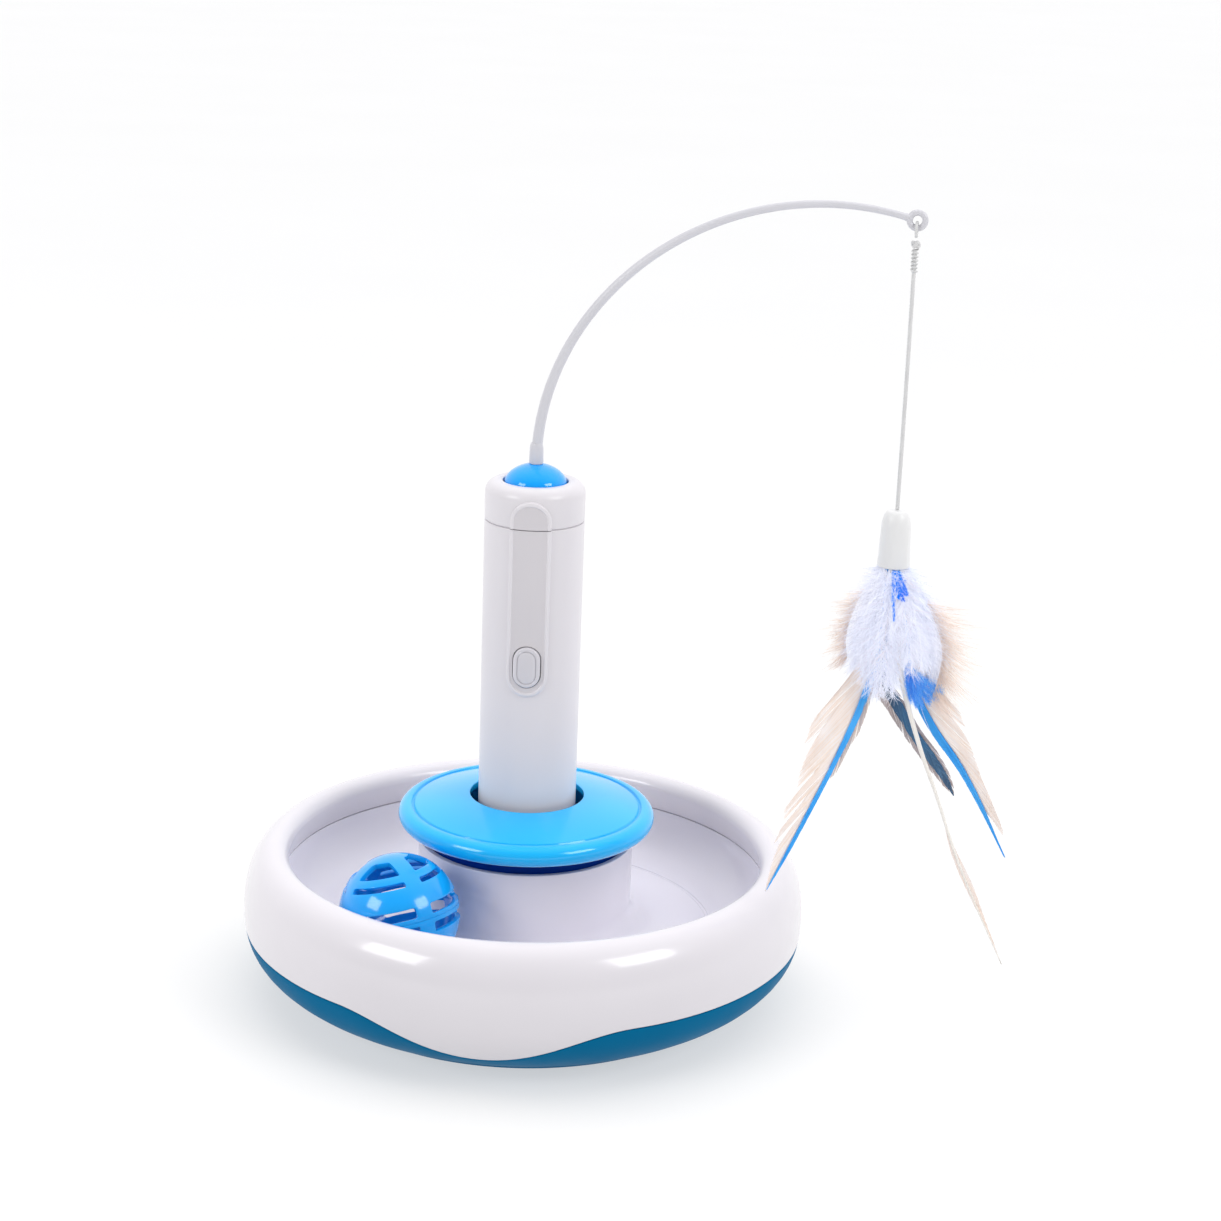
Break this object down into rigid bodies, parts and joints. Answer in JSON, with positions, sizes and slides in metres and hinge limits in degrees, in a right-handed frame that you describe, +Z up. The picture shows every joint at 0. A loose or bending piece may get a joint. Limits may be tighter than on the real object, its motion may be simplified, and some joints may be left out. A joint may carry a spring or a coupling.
{
  "type": "motorised cat toy",
  "caption": "Round track toy base with a captive lattice ball, a lift-out battery handle and a turning arched rod that swings a feather lure on a string.",
  "frame": {"origin": "centre of the base's underside, on the plane of its feet and centre pad", "axes": "+Z up along the handle and the ring's axis; the handle's button faces -Y; +X to the right of the button"},
  "size_m": [0.2594, 0.1928, 0.2768],
  "materials": {
    "gloss_white": "glossy moulded plastic",
    "shell_blue": "satin moulded plastic",
    "sky_blue": "high gloss moulded plastic",
    "dark_blue": "satin moulded plastic",
    "ball_blue": "glossy moulded plastic",
    "dome_blue": "high gloss moulded plastic",
    "button_grey": "satin moulded plastic",
    "foot_rubber": "soft rubber",
    "plated_steel": "nickel plated",
    "brass": "machined",
    "gear_nylon": "moulded nylon",
    "black_plastic": "matt moulded plastic",
    "circuit_board": "solder mask",
    "battery_sleeve": null,
    "rod_white": "semi-gloss flexible plastic",
    "white_string": "waxed cord",
    "ferrule_white": "smooth moulded plastic",
    "binding_glue": "hardened glue",
    "white_down": "soft down",
    "peach_vane": "feather vane, blue along one edge",
    "slate_vane": "feather vane",
    "white_quill": "stripped quill",
    "royal_blue": "dyed down"
  },
  "bodies": {
    "base": {"base_shell": "shell_blue", "rim_ring": "gloss_white", "track_tray": "gloss_white", "socket_cup": "dark_blue", "deck_disc": "sky_blue", "foot_1": "foot_rubber", "foot_2": "foot_rubber", "foot_3": "foot_rubber", "base_screw_1": "plated_steel", "base_screw_2": "plated_steel", "base_screw_3": "plated_steel"},
    "ball": {"ball_half_upper": "ball_blue", "ball_half_lower": "ball_blue"},
    "handle": {"handle_body": "gloss_white", "handle_cap": "gloss_white", "lower_carrier": "black_plastic", "contact_bridge": "plated_steel", "contact_spring_1": "plated_steel", "contact_spring_2": "plated_steel", "battery_cell_1": "battery_sleeve", "battery_cell_2": "battery_sleeve", "upper_carrier": "black_plastic", "circuit_board": "circuit_board", "switch_housing": "black_plastic", "motor_can": "plated_steel", "gear_plate": "black_plastic", "gear_cover": "black_plastic", "gear_post_1": "plated_steel", "gear_post_2": "plated_steel", "gear_post_3": "plated_steel"},
    "button": {"button_cap": "button_grey", "switch_plunger": "black_plastic"},
    "battery_door": {"battery_cap": "gloss_white"},
    "armature": {"motor_pinion": "brass"},
    "idler": {"idler_gear": "gear_nylon"},
    "rotor": {"output_gear": "gear_nylon", "drive_shaft": "plated_steel", "rotor_dome": "dome_blue", "rod_sleeve": "gloss_white", "lure_rod": "rod_white", "rod_eye": "rod_white"},
    "link": {"string_loop": "white_string"},
    "lure": {"string_knot": "white_string", "lure_string": "white_string", "ferrule": "ferrule_white", "quill_binding": "binding_glue", "down_skirt": "white_down", "feather_left": "peach_vane", "feather_right": "peach_vane", "feather_dark": "slate_vane", "feather_spine": "white_quill", "blue_plume": "royal_blue"}
  },
  "joints": [
    {"name": "ball_orbit", "type": "hinge", "parent": "base", "child": "ball", "pos_m": [0, 0, 0.0423], "axis": [0, 0, 1], "continuous": true},
    {"name": "handle_lift", "type": "slide", "parent": "base", "child": "handle", "axis": [0, 0, 1], "range_m": [0, 0.035]},
    {"name": "button_press", "type": "slide", "parent": "handle", "child": "button", "axis": [0, 1, 0], "range_m": [0, 0.0005], "stiffness_N_per_m": 800},
    {"name": "battery_cap_turn", "type": "hinge", "parent": "handle", "child": "battery_door", "pos_m": [0, 0, 0.037], "axis": [0, 0, 1], "range_deg": [0, 45]},
    {"name": "rotor_spin", "type": "hinge", "parent": "handle", "child": "rotor", "pos_m": [0, 0, 0.17], "axis": [0, 0, 1], "continuous": true},
    {"name": "idler_spin", "type": "hinge", "parent": "handle", "child": "idler", "pos_m": [0.0072, 0, 0.16], "axis": [0, 0, 1], "continuous": true},
    {"name": "motor_spin", "type": "hinge", "parent": "handle", "child": "armature", "pos_m": [0, 0, 0.158], "axis": [0, 0, 1], "continuous": true},
    {"name": "lure_swing", "type": "hinge", "parent": "rotor", "child": "link", "pos_m": [0.11858, -0.01667, 0.27214], "axis": [-0.1392, -0.9903, 0], "range_deg": [-2, 35]},
    {"name": "lure_sway", "type": "hinge", "parent": "link", "child": "lure", "pos_m": [0.11858, -0.01667, 0.26459], "axis": [0.9903, -0.1392, 0], "range_deg": [-15, 15]}
  ],
  "couplings": [
    {"joint": "idler_spin", "follows": "rotor_spin", "ratio": -3},
    {"joint": "motor_spin", "follows": "rotor_spin", "ratio": 9}
  ]
}
